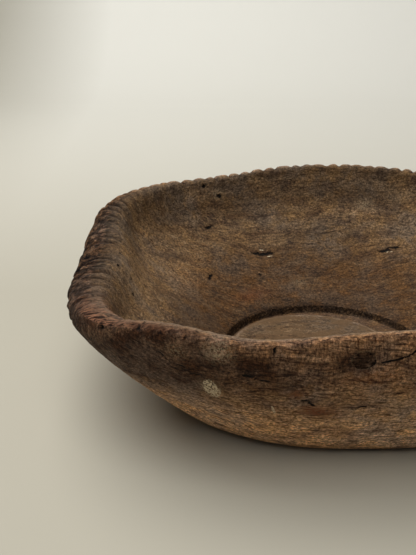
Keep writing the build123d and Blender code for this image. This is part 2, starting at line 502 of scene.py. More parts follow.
def knife_cuts(skin):
    """Depth of the cuts round the rim. No two are alike, and along the front they are nearly worn off."""
    draw = np.random.RandomState(11)
    depth = draw.uniform(0.35, 1.25, NOTCH_COUNT)
    width = draw.uniform(0.7, 1.7, NOTCH_COUNT)
    shift = draw.uniform(-3.0, 3.0, NOTCH_COUNT)
    lean = draw.uniform(-0.35, 0.35, NOTCH_COUNT)
    cut = np.minimum((skin.run / NOTCH_PITCH).astype(int), NOTCH_COUNT - 1)
    away = skin.run - (cut + 0.5) * NOTCH_PITCH - shift[cut] - lean[cut] * skin.below
    groove = np.exp(-(away / (NOTCH_HALF_WIDTH * width[cut])) ** 2)
    across = np.exp(-(skin.below / blend(6.0, 12.0, skin.end)) ** 2) * (1 - smooth(90, 150, skin.arc))
    front = smooth(0.1, -0.6, np.sin(skin.t)) * (1 - skin.end)
    back = smooth(0.3, 0.8, np.sin(skin.t))
    full = blend(SIDE_NOTCH_DEPTH, END_NOTCH_DEPTH, skin.end) * (1 - 0.8 * front) * (1 + 0.35 * back)
    broken = np.maximum(bump(skin.t, TORN_TURN, 13), 0.35 * bump(skin.t, 182, 24))
    return depth[cut] * full * groove * across * (1 - broken) * (skin.zone != "base")


def cells(flat, seed):
    """Scattered cells on a plane: distance to the two nearest middles, and the nearest cell's draw."""
    cell = np.floor(flat)
    first = np.full(len(flat), FAR_OFF)
    second = np.full(len(flat), FAR_OFF)
    draw = np.zeros(len(flat))
    for step in product((-1, 0, 1), repeat=2):
        seat = cell + np.array(step)
        key = np.column_stack([seat * 3.7, 0 * seat[:, 0]])
        jitter = np.stack([lattice(key + 0.37, seed), lattice(key + 0.71, seed + 1)], axis=1) * 0.45
        away = np.hypot(*(seat + 0.5 + jitter - flat).T)
        closer = away < first
        second = np.where(closer, first, np.minimum(second, away))
        draw = np.where(closer, lattice(key + 0.19, seed + 2), draw)
        first = np.minimum(first, away)
    return first, second, draw


def end_furrows(skin):
    """Broken chunks with deep creases between them, in the torn end grain of the rim's ends."""
    bent = skin.run + 4.0 * lattice(skin.p / 11.0, 8)
    across = skin.arc / 90 * 26 - skin.below + 3.0 * lattice(skin.p / 9.0, 18)
    first, second, chunk = cells(np.stack([bent / CHUNK[0], across / CHUNK[1]], axis=1), 23)
    crease = np.exp(-((second - first) / CREASE_WIDTH) ** 2)
    lumps = np.maximum(0, cloud(skin.p, (16, 13, 11), 61, 3))
    where = np.maximum(0.6 * smooth(0.35, 0.8, skin.end), bump(skin.t, LEFT_END_TURN, 27))
    where = where * (1 - 0.9 * skin.torn)
    where = where * np.exp(-(skin.below / 15) ** 2) * (1 - smooth(70, 112, skin.arc))
    tear = CREASE_DEPTH * crease + CHUNK_DEPTH * (chunk + 0.5) + LUMP_DEPTH * lumps
    return tear * where * (skin.zone != "base")


def torn_corner(skin):
    """Front left corner where the top of the rim broke away along the grain."""
    where = skin.torn * smooth(30, 52, skin.arc) * (1 - smooth(125, 175, skin.arc))
    fibres = lattice(skin.p / np.array([24, 2.2, 2.6]), 7)
    fibres = fibres + 0.6 * lattice(skin.p / np.array([9, 1.4, 1.6]), 9)
    return where * np.maximum(-0.3, 0.6 + 1.5 * fibres)


def ragged_floor(skin):
    """Rough tool marks on the step and in the groove, and a worn, uneven disc."""
    step = 0.9 * cloud(skin.p, (9, 9, 4), 71, 3) * (skin.zone == "step")
    groove = (0.6 * cloud(skin.p, (11, 9, 5), 81, 3) - 0.2) * (skin.zone == "groove")
    disc = (0.45 * cloud(skin.p, (30, 22, 20), 91, 3)) * (skin.zone == "boss")
    return step + groove + disc


def adze_marks(skin):
    """Shallow scooped facets, bolder outside than inside."""
    flat = np.stack([skin.run / ADZE_FACET[0], skin.p[:, 2] / ADZE_FACET[1]], axis=1)
    scoop = 0.35 - cells(flat, 21)[0] ** 2
    strength = np.where(skin.outer, OUTER_ADZE, INNER_ADZE) * smooth(4, 16, skin.p[:, 2])
    return scoop * strength * ~np.isin(skin.zone, ("base", "step", "groove", "boss"))


def hand_sway(skin):
    """Broad unevenness of a form cut by eye, kept off the foot so that it stands flat."""
    sway = cloud(skin.p, (95, 70, 55), 31) * 1.3 + cloud(skin.p, (32, 24, 22), 41) * 0.45
    return sway * smooth(3, 22, skin.p[:, 2]) * (1 - 0.6 * smooth(20, 90, skin.arc) * (skin.zone == "rim"))


def grain_relief(skin):
    """Fine ridges of harder grain along X, worn down inside."""
    ridges = cloud(skin.p, (30, 2.8, 2.8), 51, 2)
    strength = np.where(skin.inner, 0.13, 0.24) * (skin.zone != "base")
    return ridges * strength


def wall_point(side, turn, height):
    """Place and outward normal on the inner or outer wall."""
    t = np.array([radians(turn)])

    def at(angle, level):
        if side == "out":
            share = level / rim_section(angle)[1]
            radius = outer_wall_radius(angle, np.minimum(share, 1))
        else:
            inner_height = rim_section(angle)[5]
            down = np.clip((inner_height - level) / (inner_height - FLOOR_EDGE_HEIGHT), 0, 1)
            radius = inner_radius(angle, down)
        return polar(radius, angle, level)[0]

    place = at(t, height)
    round_way = at(t + 0.01, height) - at(t - 0.01, height)
    up_way = at(t, height + 1) - at(t, height - 1)
    normal = np.cross(round_way, up_way)
    normal *= (1 if side == "out" else -1) / np.linalg.norm(normal)
    return place, normal


class Mark:
    """A spot on a wall: side, direction, height, half length along the grain, half width, slant, amount."""

    def __init__(self, side, turn, height, long, wide, slant=0.0, amount=1.0):
        self.place, normal = wall_point(side, turn, height)
        level = np.cross(normal, (0, 0, 1))
        level /= np.linalg.norm(level)
        level *= 1 if level[0] >= 0 else -1
        rise = np.cross(normal, level)
        rise *= 1 if rise[2] >= 0 else -1
        self.along = level * cos(radians(slant)) + rise * sin(radians(slant))
        self.across = rise * cos(radians(slant)) - level * sin(radians(slant))
        self.normal = normal
        self.long = long
        self.wide = wide
        self.amount = amount

    def frame(self, skin):
        away = skin.p - self.place
        facing = (skin.n @ self.normal > -0.2) & (np.abs(away @ self.normal) < 14)
        return away @ self.along / self.long, away @ self.across / self.wide, facing

    def weight(self, skin):
        """1 in the middle, fading to nothing at about twice the half sizes."""
        along, across, facing = self.frame(skin)
        return self.amount * np.exp(-along ** 2 - across ** 2) * facing

    def ring(self, skin):
        """1 on an oval line at the half sizes."""
        along, across, facing = self.frame(skin)
        return self.amount * np.exp(-((np.hypot(along, across) - 1) / 0.28) ** 2) * facing


def on_wall(side, *places):
    """Marks on one wall, "in" or "out", each given as for Mark."""
    return tuple(Mark(side, *place) for place in places)


# How far beyond a mark its own frame is kept on the mesh.
MARK_MARGIN = 6.0
# Pits and cracks: amount sets the depth.
PITS = on_wall(
    "in",
    (125.3, 87, 4.5, 1.5, 8, 3.0), (139.5, 56, 5.0, 1.6, 25, 3.2), (114.6, 63.5, 7.0, 1.7, -8, 3.4),
    (111.5, 63, 8.0, 1.8, 12, 2.6), (66.5, 67, 6.0, 1.6, 14, 2.4), (63.4, 70, 6.0, 1.4, 10, 2.8),
    (178.8, 113, 2.2, 1.6, 30, 2.8), (167.3, 98, 2.0, 1.5, 0, 2.4), (186.0, 111, 2.2, 1.5, 20, 2.6),
    (185.2, 97, 1.8, 1.4, 40, 2.2), (190.5, 91, 2.0, 1.5, 30, 2.4), (118.5, 50, 1.8, 1.4, 0, 2.0),
    (119.2, 115, 3.0, 2.0, 0, 1.2), (123.4, 126, 2.4, 1.8, 0, 1.2),
) + on_wall(
    "out",
    (220.1, 121, 2.0, 1.8, 0, 4.0), (227.6, 130, 1.6, 1.5, 0, 3.0), (254.2, 78, 3.4, 1.3, -4, 2.6),
    (255.6, 74, 2.4, 1.2, -40, 1.6), (231.2, 113, 3.5, 0.7, -52, 1.2), (233.8, 105, 3.5, 0.7, -16, 1.2),
    (269.2, 118, 7.0, 0.9, 14, 1.5), (271.6, 121.5, 5.0, 0.9, 22, 1.7), (273.6, 127, 6.0, 1.0, 48, 2.0),
    (249.9, 126, 1.0, 2.6, 0, 1.6), (235.9, 98, 5.0, 0.8, 0, 1.2), (265.8, 71, 4.0, 1.0, 8, 1.4),
    (245.0, 103, 5.0, 1.1, -6, 1.3), (247.5, 99, 4.0, 1.0, -4, 1.2),
) + on_wall(
    "in",
    (40, 74, 7.0, 1.6, 10, 2.6), (20, 92, 3.0, 1.5, 20, 2.4), (350, 88, 2.0, 1.5, 10, 2.4),
    (300, 80, 6.0, 1.5, -8, 2.2), (255, 70, 7.0, 1.5, 4, 2.2), (225, 84, 5.0, 1.5, 12, 2.2),
) + on_wall(
    "out",
    (300, 96, 9.0, 1.3, 6, 1.8), (318, 70, 6.0, 1.2, -8, 1.6), (45, 84, 9.0, 1.3, 6, 1.9),
    (75, 104, 12.0, 1.2, -3, 2.0), (95, 60, 8.0, 1.2, 4, 1.6), (128, 92, 7.0, 1.3, -6, 1.8),
    (150, 66, 5.0, 1.3, 10, 1.8), (12, 78, 4.0, 1.6, 30, 2.2),
)
# Small healed knots: raised rings. The first one has an orange ring too.
HEALED_KNOTS = on_wall(
    "in",
    (148.6, 99, 3.4, 4.8, 0, 0.45), (103.2, 44, 9.0, 6.5, 0, 0.3),
) + on_wall(
    "out",
    (228.6, 98, 3.2, 3.2, 0, 0.4), (60, 70, 6.0, 5.0, 0, 0.5),
) + on_wall(
    "in",
    (325, 96, 6.0, 5.0, 0, 0.4),
)
RINGED_KNOT = HEALED_KNOTS[:1]
# Crisp pale spots: a lichen-like patch, a scratch and splinters beside the cracks.
PALE_SPOTS = on_wall(
    "out",
    (237.4, 83.5, 6.5, 12.5), (247.8, 65, 1.1, 7.0, 10),
) + on_wall(
    "in",
    (110.6, 61.2, 3.4, 0.7, 14), (112.6, 65.6, 2.6, 0.6, -6), (64.6, 66.6, 4.0, 0.8, 12),
)


def near_layer(skin, marks):
    """Place of each point in the nearest mark's own frame, in half sizes, or far off beyond them all."""
    layer = np.tile((0.0, 0.0, FAR_OFF), (len(skin.p), 1))
    nearest = np.full(len(skin.p), MARK_MARGIN)
    for mark in marks:
        along, across, facing = mark.frame(skin)
        beyond = np.maximum((np.abs(along) - 1) * mark.long, (np.abs(across) - 1) * mark.wide)
        closer = facing & (beyond < nearest)
        layer[closer] = np.column_stack([along, across, 0 * along])[closer]
        nearest[closer] = beyond[closer]
    return layer


def relief(skin):
    """Total height change along the normal, and how deep each point lies in cuts, tears and pits."""
    pits = sum(mark.weight(skin) for mark in PITS)
    cuts = knife_cuts(skin)
    tears = end_furrows(skin) + torn_corner(skin)
    rings = sum(mark.ring(skin) for mark in HEALED_KNOTS)
    height = hand_sway(skin) + adze_marks(skin) + grain_relief(skin) + ragged_floor(skin) + rings
    height = height - PIT_DEPTH * pits - cuts - tears
    return height, pits, cuts, tears


# Stains by colour family, with patches of painted light among the tan ones.
DARK_STAINS = on_wall(
    "out",
    (224, 106, 34, 22, 0, 0.9), (234, 100, 26, 18, 0, 0.7), (246, 112, 20, 9, 0, 0.7),
    (251, 96, 26, 16, 0, 0.5), (263.2, 118.5, 13, 10, 0, 1.2), (214, 100, 26, 26, 0, 0.9),
) + on_wall(
    "in",
    (118, 105, 70, 12, 3, 0.62), (80, 114, 60, 10, -2, 0.5), (139, 103, 24, 15, 0, 0.6),
    (92, 78, 44, 13, 0, 0.4), (104, 56, 70, 22, 0, 0.22),
) + on_wall(
    "out",
    (300, 100, 40, 16, 0, 0.45), (60, 96, 50, 16, 0, 0.5), (120, 108, 50, 14, 0, 0.5),
    (170, 80, 26, 30, 0, 0.4),
)
# Tan stains. On the inner wall, those at 152, 178 and 205 degrees are painted light on the left end, which
# gets little light from the key lamp.
TAN_STAINS_AND_LIGHT = on_wall(
    "out",
    (241, 122, 11, 9, 0, 0.7), (234, 121, 12, 9, 0, 0.5), (228.6, 98, 3.0, 3.0, 0, 0.5),
) + on_wall(
    "in",
    (152, 66, 40, 26, 0, 0.55), (127, 117, 16, 8, 0, 0.5), (205, 60, 40, 20, 0, 0.45),
    (78, 98, 30, 6, 0, 0.45), (178, 94, 70, 26, 0, 0.5),
)
PALE_STAINS = on_wall(
    "out",
    (237.4, 84, 7.5, 8.5, 0, 0.5), (241, 122, 9.0, 8.0, 0, 0.7), (234, 118, 7.0, 6.0, 0, 0.35),
) + on_wall(
    "in",
    (76, 105, 8, 5, 0, 0.4), (119.8, 117, 6, 5, 0, 0.35), (103.2, 44, 8, 6, 0, 0.2),
)
RUST_STAINS = on_wall(
    "out",
    (256.5, 66, 13, 6.0, -12, 1.2), (253, 86, 5, 5, 0, 0.8), (266, 104, 16, 6, 0, 0.35),
) + on_wall(
    "in",
    (130, 40, 18, 8, 0, 0.4),
)


def stains(marks, skin):
    return np.clip(sum(mark.weight(skin) for mark in marks), 0, 1)


def masks(skin, pits, cuts, tears):
    """Shares from 0 to 1 that steer the wood's colour, painted shade and highlights among them."""
    height = skin.p[:, 2]
    front = smooth(0.2, -0.5, np.sin(skin.t))
    on_rim = np.exp(-((skin.arc - 98) / 10) ** 2) * (skin.zone == "rim")
    on_disc = np.hypot(skin.p[:, 0] - BOSS_X, skin.p[:, 1] - BOSS_Y)
    disc_edge = np.exp(-((on_disc - BOSS_RADIUS + 0.6) / 1.2) ** 2) * (skin.zone == "boss")
    smoked = smooth(48, 96, height) * (0.10 + 0.95 * bump(skin.t, 222, 26)) * skin.outer
    torn = skin.torn * smooth(34, 46, skin.arc) * (1 - smooth(130, 175, skin.arc))
    end_band = np.maximum(bump(skin.t, LEFT_END_TURN, 30), 0.8 * smooth(0.3, 0.75, skin.end))
    end_band = end_band * np.exp(-(skin.below / 26) ** 2) * (1 - smooth(78, 118, skin.arc))
    end_band = end_band * (1 - 0.85 * skin.torn)
    gouged = smooth(74, 112, height) * skin.outer * (1 - skin.end) * (1 - smooth(60, 90, skin.arc))
    # Painted shade at the foot of the inner wall, just above the recess, strongest at the back left.
    back_wall_foot_shade = np.exp(-((height - FLOOR_EDGE_HEIGHT) / 6) ** 2) * bump(skin.t, 128, 62)
    back_wall_foot_shade = back_wall_foot_shade * (skin.zone == "inside")
    # Painted shade on the step into the recess, with a weaker share in the groove that is partly dirt.
    step = np.where(skin.zone == "step", 1.0, np.where(skin.zone == "groove", 0.35, 0.0))
    return {
        # Painted shade: darker in the knife cuts, the torn furrows and the pits.
        "hollow_shade": np.clip(0.12 * pits + 0.34 * cuts + 0.30 * np.maximum(tears, 0), 0, 1),
        # Crest of the rim, stronger at the front, and the top edge of the disc: partly wear, partly painted
        # highlight.
        "wear_and_highlight": np.maximum(on_rim * blend(0.3, 1.0, front) * (1 - 0.8 * skin.end), disc_edge),
        "end_grain": end_band * (skin.zone != "base"),
        "gouged": gouged,
        "outer": np.where(skin.outer, 1.0, 0.0),
        "torn": torn,
        "dark": np.clip(smoked * (1 - on_rim) + stains(DARK_STAINS, skin), 0, 1),
        # Tan stains, some of them painted light on the inner left wall, and lighter towards the foot of the
        # outer wall.
        "tan": np.maximum(stains(TAN_STAINS_AND_LIGHT, skin), 0.85 * smooth(74, 26, height) * (skin.zone == "outside")),
        # Painted shade: the inner wall darker towards the floor.
        "low": smooth(84, 46, height) * (skin.zone == "inside"),
        "pale": stains(PALE_STAINS, skin),
        "rust": np.maximum(stains(RUST_STAINS, skin), 0.2 * (skin.zone == "groove")),
        "recess_shade_and_grime": np.clip(step + 0.9 * back_wall_foot_shade, 0, 1),
        "worn_disc": np.where(skin.zone == "boss", 1.0, 0.0),
    }


def linked(name, data):
    """New object in the scene."""
    piece = bpy.data.objects.new(name, data)
    bpy.context.scene.collection.objects.link(piece)
    return piece


def new_object(name, points, faces):
    mesh = bpy.data.meshes.new(name)
    mesh.from_pydata((points * MM).tolist(), [], faces)
    mesh.shade_smooth()
    return linked(name, mesh)


def normals_of(mesh):
    flat = np.zeros(len(mesh.vertices) * 3, np.float32)
    mesh.vertex_normals.foreach_get("vector", flat)
    return flat.reshape(-1, 3).astype(float)


def store(mesh, name, values, kind="FLOAT", field="value"):
    layer = mesh.attributes.new(name, kind, "POINT")
    layer.data.foreach_set(field, np.asarray(values, np.float32).ravel())


def bake_layout(mesh, point_rows, face_rows, points, crest_row):
    """Two round charts, outside and inside, each with its middle at the bowl's middle."""
    rows = point_rows.max() + 1
    middle = np.array([points[point_rows == row].mean(axis=0) for row in range(rows)])
    reach = np.hypot(*(points - middle[point_rows])[:, :2].T)
    radius = np.array([reach[point_rows == row].mean() for row in range(rows)])
    steps = np.hypot(np.diff(radius), np.diff(middle[:, 2]))
    path = np.concatenate(([0], np.cumsum(steps)))
    outside = path[point_rows] / path[crest_row]
    inside = (path[-1] - path[point_rows]) / (path[-1] - path[crest_row])
    t = np.arctan2(points[:, 1] - middle[point_rows, 1], points[:, 0] - middle[point_rows, 0])
    spoke = np.stack([np.cos(t), np.sin(t)], axis=1)
    uv_out = OUTSIDE_CHART + CHART_RADIUS * outside[:, None] * spoke
    uv_in = INSIDE_CHART + CHART_RADIUS * inside[:, None] * spoke
    layer = mesh.uv_layers.new(name="OFBake")
    corner_point = np.zeros(len(mesh.loops), np.int32)
    mesh.loops.foreach_get("vertex_index", corner_point)
    sizes = np.zeros(len(mesh.polygons), np.int32)
    mesh.polygons.foreach_get("loop_total", sizes)
    corner_out = np.repeat(face_rows < crest_row, sizes)
    uv = np.where(corner_out[:, None], uv_out[corner_point], uv_in[corner_point])
    layer.data.foreach_set("uv", uv.astype(np.float32).ravel())


def carve_bowl():
    """The whole bowl as one skin, with its relief and colour masks."""
    rings = Rings()
    outside_rows(rings)
    rim_rows(rings)
    inside_rows(rings)
    floor_rows(rings)
    points, faces, point_rows, face_rows = stitch(rings)
    zones = np.array(["base"] + rings.zones + ["boss"])[point_rows]
    arcs = np.array([0.0] + rings.arcs + [180.0])[point_rows]
    piece = new_object("carved_bowl", points, faces)
    skin = Skin(points, normals_of(piece.data), zones, arcs)
    height, pits, cuts, tears = relief(skin)
    carved = points + height[:, None] * skin.n
    carved = np.clip(carved, np.array(cad_box[0]) / MM, np.array(cad_box[1]) / MM)
    piece.data.vertices.foreach_set("co", (carved * MM).astype(np.float32).ravel())
    piece.data.update()
    for name, values in masks(skin, pits, cuts, tears).items():
        store(piece.data, name, values)
    for name, marks in (("crack", PITS), ("spot", PALE_SPOTS), ("knot_ring", RINGED_KNOT)):
        store(piece.data, name, near_layer(skin, marks), "FLOAT_VECTOR", "vector")
    crest_row = 1 + rings.arcs.index(90.0)
    bake_layout(piece.data, point_rows, face_rows, points, crest_row)
    return piece


def knot_peg(grow):
    """Cutter for the knot: a cone along Y through the front wall, grown by a clearance."""
    taper = PEG_REACH * tan(radians(KNOT_TAPER_ANGLE))
    share = KNOT_HEIGHT / rim_section(-pi / 2)[1]
    front = -float(outer_wall_radius(np.array([-pi / 2]), np.array([share]))[0])
    turns = np.arange(KNOT_SIDES) * 2 * pi / KNOT_SIDES
    rings = []
    for end in (-0.5, 0.5):
        radius = KNOT_RADIUS - end * taper + grow
        x = KNOT_X + radius * np.cos(turns)
        z = KNOT_HEIGHT + radius * np.sin(turns)
        rings.append(np.column_stack([x, 0 * turns + front + end * PEG_REACH, z]))
    n = KNOT_SIDES
    sides = [(i, (i + 1) % n, n + (i + 1) % n, n + i) for i in range(n)]
    caps = [tuple(reversed(range(n))), tuple(range(n, 2 * n))]
    return new_object("peg", np.concatenate(rings), sides + caps)


def cut(piece, cutter, operation):
    """Replaces the piece's mesh by its difference or overlap with the cutter."""
    step = piece.modifiers.new("cut", "BOOLEAN")
    step.operation = operation
    step.solver = "EXACT"
    step.object = cutter
    seen = piece.evaluated_get(bpy.context.evaluated_depsgraph_get())
    mesh = bpy.data.meshes.new_from_object(seen)
    piece.modifiers.clear()
    mesh.name = piece.name
    piece.data = mesh
    bpy.data.objects.remove(cutter)


def strip_place(face, point):
    """Place of a point on a strip unrolled round the knot's axis, from 0 to 1 each way."""
    middle = atan2(face.center.z / MM - KNOT_HEIGHT, face.center.x / MM - KNOT_X)
    turn = atan2(point.z / MM - KNOT_HEIGHT, point.x / MM - KNOT_X)
    turn = middle + (turn - middle + pi) % (2 * pi) - pi
    return 0.5 + turn / (2 * pi) * STRIP_SPAN, (point.y / MM + WIDTH / 2) / PEG_REACH


def lay_out_knot(knot, bowl):
    """Bake map of the knot, two caps and a strip, and of its hole in a free corner of the bowl's map."""
    knot_map = knot.data.uv_layers["OFBake"].data
    for face in knot.data.polygons:
        cap = FRONT_CAP if face.normal.y < 0 else BACK_CAP
        for corner in face.loop_indices:
            point = knot.data.vertices[knot.data.loops[corner].vertex_index].co
            if abs(face.normal.y) > CAP_FACING:
                aside = (point.x / MM - KNOT_X) / CAP_MAP_SIDE
                up = (point.z / MM - KNOT_HEIGHT) / CAP_MAP_SIDE
                knot_map[corner].uv = (cap[0] + aside, cap[1] + up)
            else:
                along, deep = strip_place(face, point)
                knot_map[corner].uv = (along, STRIP_FOOT + STRIP_RISE * deep)
    bowl_map = bowl.data.uv_layers["OFBake"].data
    # Faces that the cut made have no place on the map yet.
    for face in bowl.data.polygons:
        if all(bowl_map[corner].uv.length < 1e-6 for corner in face.loop_indices):
            for corner in face.loop_indices:
                point = bowl.data.vertices[bowl.data.loops[corner].vertex_index].co
                along, deep = strip_place(face, point)
                bowl_map[corner].uv = (HOLE_CORNER[0] + HOLE_SIDE * along, HOLE_CORNER[1] + HOLE_SIDE * deep)


def split_knot(bowl):
    """Takes the dead knot out of the front wall as a piece of its own."""
    knot = linked("knot_plug", bowl.data.copy())
    cut(knot, knot_peg(0.0), "INTERSECT")
    cut(bowl, knot_peg(KNOT_GAP), "DIFFERENCE")
    lay_out_knot(knot, bowl)
    return knot


class Tree:
    """Short names for the shader nodes that the materials use."""

    def __init__(self, name):
        self.material = bpy.data.materials.new(name)
        self.material.use_nodes = True
        self.nodes = self.material.node_tree.nodes
        self.shader = self.nodes["Principled BSDF"]

    def put(self, kind, values, **settings):
        node = self.nodes.new(kind)
        for key, value in settings.items():
            setattr(node, key, value)
        for key, value in values.items():
            self.feed(node.inputs[key], value)
        return node

    def feed(self, socket, value):
        if isinstance(value, bpy.types.NodeSocket):
            self.material.node_tree.links.new(value, socket)
        else:
            socket.default_value = value

    def where(self):
        """Place on the object in millimetres."""
        place = self.put("ShaderNodeTexCoord", {}).outputs["Object"]
        return self.times(place, (1 / MM, 1 / MM, 1 / MM))

    def times(self, vector, factors):
        return self.put("ShaderNodeVectorMath", {0: vector, 1: factors}, operation="MULTIPLY").outputs[0]

    def plus(self, a, b):
        return self.put("ShaderNodeVectorMath", {0: a, 1: b}, operation="ADD").outputs[0]

    def length(self, vector):
        return self.put("ShaderNodeVectorMath", {0: vector}, operation="LENGTH").outputs["Value"]

    def noise(self, vector, size, detail, rough, colour=False):
        values = {"Vector": vector, "Scale": 1 / size, "Detail": detail, "Roughness": rough}
        node = self.put("ShaderNodeTexNoise", values)
        return node.outputs["Color" if colour else "Fac"]

    def share(self, value, low, high, to_low=0.0, to_high=1.0):
        """Moves a range of values to another one, and clamps it."""
        values = {"Value": value, "From Min": low, "From Max": high, "To Min": to_low, "To Max": to_high}
        return self.put("ShaderNodeMapRange", values).outputs["Result"]

    def math(self, operation, a, b):
        return self.put("ShaderNodeMath", {0: a, 1: b}, operation=operation).outputs[0]

    def total(self, *terms):
        """Sum of values, each times its own weight."""
        parts = [self.math("MULTIPLY", value, weight) for value, weight in terms]
        whole = parts[0]
        for part in parts[1:]:
            whole = self.math("ADD", whole, part)
        return whole

    def mask(self, name, output="Fac"):
        return self.put("ShaderNodeAttribute", {}, attribute_name=name).outputs[output]

    def mix(self, share, a, b, mode="MIX"):
        node = self.put("ShaderNodeMix", {}, data_type="RGBA", blend_type=mode)
        self.feed(node.inputs[0], share)
        self.feed(node.inputs[6], a)
        self.feed(node.inputs[7], b)
        return node.outputs[2]

    def ramp(self, value, stops):
        node = self.put("ShaderNodeValToRGB", {"Fac": value})
        band = node.color_ramp
        while len(band.elements) < len(stops):
            band.elements.new(0.5)
        for element, (place, colour) in zip(band.elements, stops):
            element.position = place
            element.color = (*colour, 1)
        return node.outputs["Color"]


class Grain:
    """Layers of old wood with the grain along X, shared by the bowl and its knot."""

    def __init__(self, tree):
        place = tree.where()
        sway = tree.plus(tree.noise(place, 75.0, 2.0, 0.5, colour=True), (-0.5, -0.5, -0.5))
        bent = tree.plus(place, tree.times(sway, (20.0, 30.0, 30.0)))
        self.shake = tree.plus(tree.noise(place, 3.2, 3.0, 0.6, colour=True), (-0.5, -0.5, -0.5))
        self.streaks = tree.noise(tree.times(bent, (0.06, 1.0, 1.0)), 6.5, 6.0, 0.68)
        self.fibres = tree.noise(tree.times(bent, (0.16, 1.0, 1.0)), 1.3, 3.0, 0.65)
        self.dashes = tree.noise(tree.times(bent, (0.09, 1.0, 1.0)), 2.3, 2.0, 0.5)
        self.hatch = tree.noise(tree.times(bent, (1.0, 1.0, 0.2)), 1.7, 4.0, 0.75)
        self.furrows = tree.noise(tree.times(bent, (0.55, 1.0, 0.6)), 5.0, 5.0, 0.74)
        self.patches = tree.noise(place, 52.0, 5.0, 0.62)
        self.blotches = tree.noise(tree.plus(place, (310.0, 70.0, 20.0)), 17.0, 6.0, 0.7)
        self.specks = tree.noise(place, 2.2, 5.0, 0.8)
        self.grit = tree.noise(place, 1.4, 2.0, 0.6)


def even_grey(values):
    return [(place, (level,) * 3) for place, level in values]


def old_wood():
    """Dry, hand-worn wood, darkened by use, with painted shade and painted highlights."""
    tree = Tree("old_wood")
    grain = Grain(tree)
    colour = tree.ramp(grain.streaks, WOOD_BANDS)
    colour = tree.mix(tree.share(grain.patches, 0.46, 0.62, 0.0, 0.7), colour, GREYED)
    colour = tree.mix(tree.share(grain.blotches, 0.50, 0.64, 0.0, 0.75), colour, AMBER)
    colour = tree.mix(tree.share(grain.blotches, 0.47, 0.34, 0.0, 0.85), colour, DARKENED)
    lines = tree.ramp(grain.fibres, even_grey(((0.30, 0.42), (0.50, 1.0), (0.70, 1.55))))
    colour = tree.mix(0.9, colour, lines, "MULTIPLY")
    dots = tree.ramp(grain.specks, even_grey(((0.34, 0.18), (0.50, 1.0), (0.66, 2.25))))
    colour = tree.mix(0.9, colour, dots, "MULTIPLY")
    colour = tree.mix(tree.share(grain.dashes, 0.63, 0.72, 0.0, 0.75), colour, PORE)
    # Painted shade: the middles of the pits and cracks are made near black, and also sunk in the bump.
    hole_shade = tree.share(mark_distance(tree, grain, "crack", (2.0, 3.0, 0.0)), 1.15, 0.75)
    colour = stained(tree, grain, colour)
    colour = tree.mix(hole_shade, colour, HOLE_SHADE)
    tree.feed(tree.shader.inputs["Base Color"], colour)
    tree.feed(tree.shader.inputs["Roughness"], tree.share(grain.blotches, 0.3, 0.7, 0.62, 0.85))
    tree.shader.inputs["Specular IOR Level"].default_value = 0.1
    broken = tree.math("MULTIPLY", tree.mask("end_grain"), grain.furrows)
    hatched = tree.math("MULTIPLY", tree.mask("gouged"), grain.hatch)
    height = tree.total((grain.streaks, 1.1), (grain.fibres, 0.7), (grain.specks, 1.1),
                        (hole_shade, -2.0), (broken, 7.0), (hatched, 3.0))
    rough = tree.put("ShaderNodeBump", {"Height": height, "Strength": 0.85, "Distance": 1.0 * MM})
    tree.feed(tree.shader.inputs["Normal"], rough.outputs["Normal"])
    return tree.material


def knot_wood():
    """Older, nearly black wood of the knot, with its rings."""
    tree = Tree("knot_wood")
    grain = Grain(tree)
    colour = tree.ramp(grain.specks, KNOT_BANDS)
    off_axis = tree.times(tree.plus(tree.where(), (-KNOT_X, 0.0, -KNOT_HEIGHT)), (1.0, 0.0, 1.0))
    off_axis = tree.plus(off_axis, tree.times(grain.shake, (1.6, 0.0, 1.6)))
    rings = tree.math("SINE", tree.math("MULTIPLY", tree.length(off_axis), 3.6), 0.0)
    colour = tree.mix(tree.share(rings, -0.2, 1.0, 0.0, 0.8), colour, KNOT_RING)
    tree.feed(tree.shader.inputs["Base Color"], colour)
    tree.shader.inputs["Roughness"].default_value = 0.9
    tree.shader.inputs["Specular IOR Level"].default_value = 0.0
    rough = tree.put("ShaderNodeBump", {"Height": grain.fibres, "Strength": 0.8, "Distance": 1.0 * MM})
    tree.feed(tree.shader.inputs["Normal"], rough.outputs["Normal"])
    return tree.material


def mark_distance(tree, grain, name, shake):
    """Distance from the nearest mark of a layer, 1 at its half sizes, with an uneven edge."""
    return tree.length(tree.plus(tree.mask(name, "Vector"), tree.times(grain.shake, shake)))


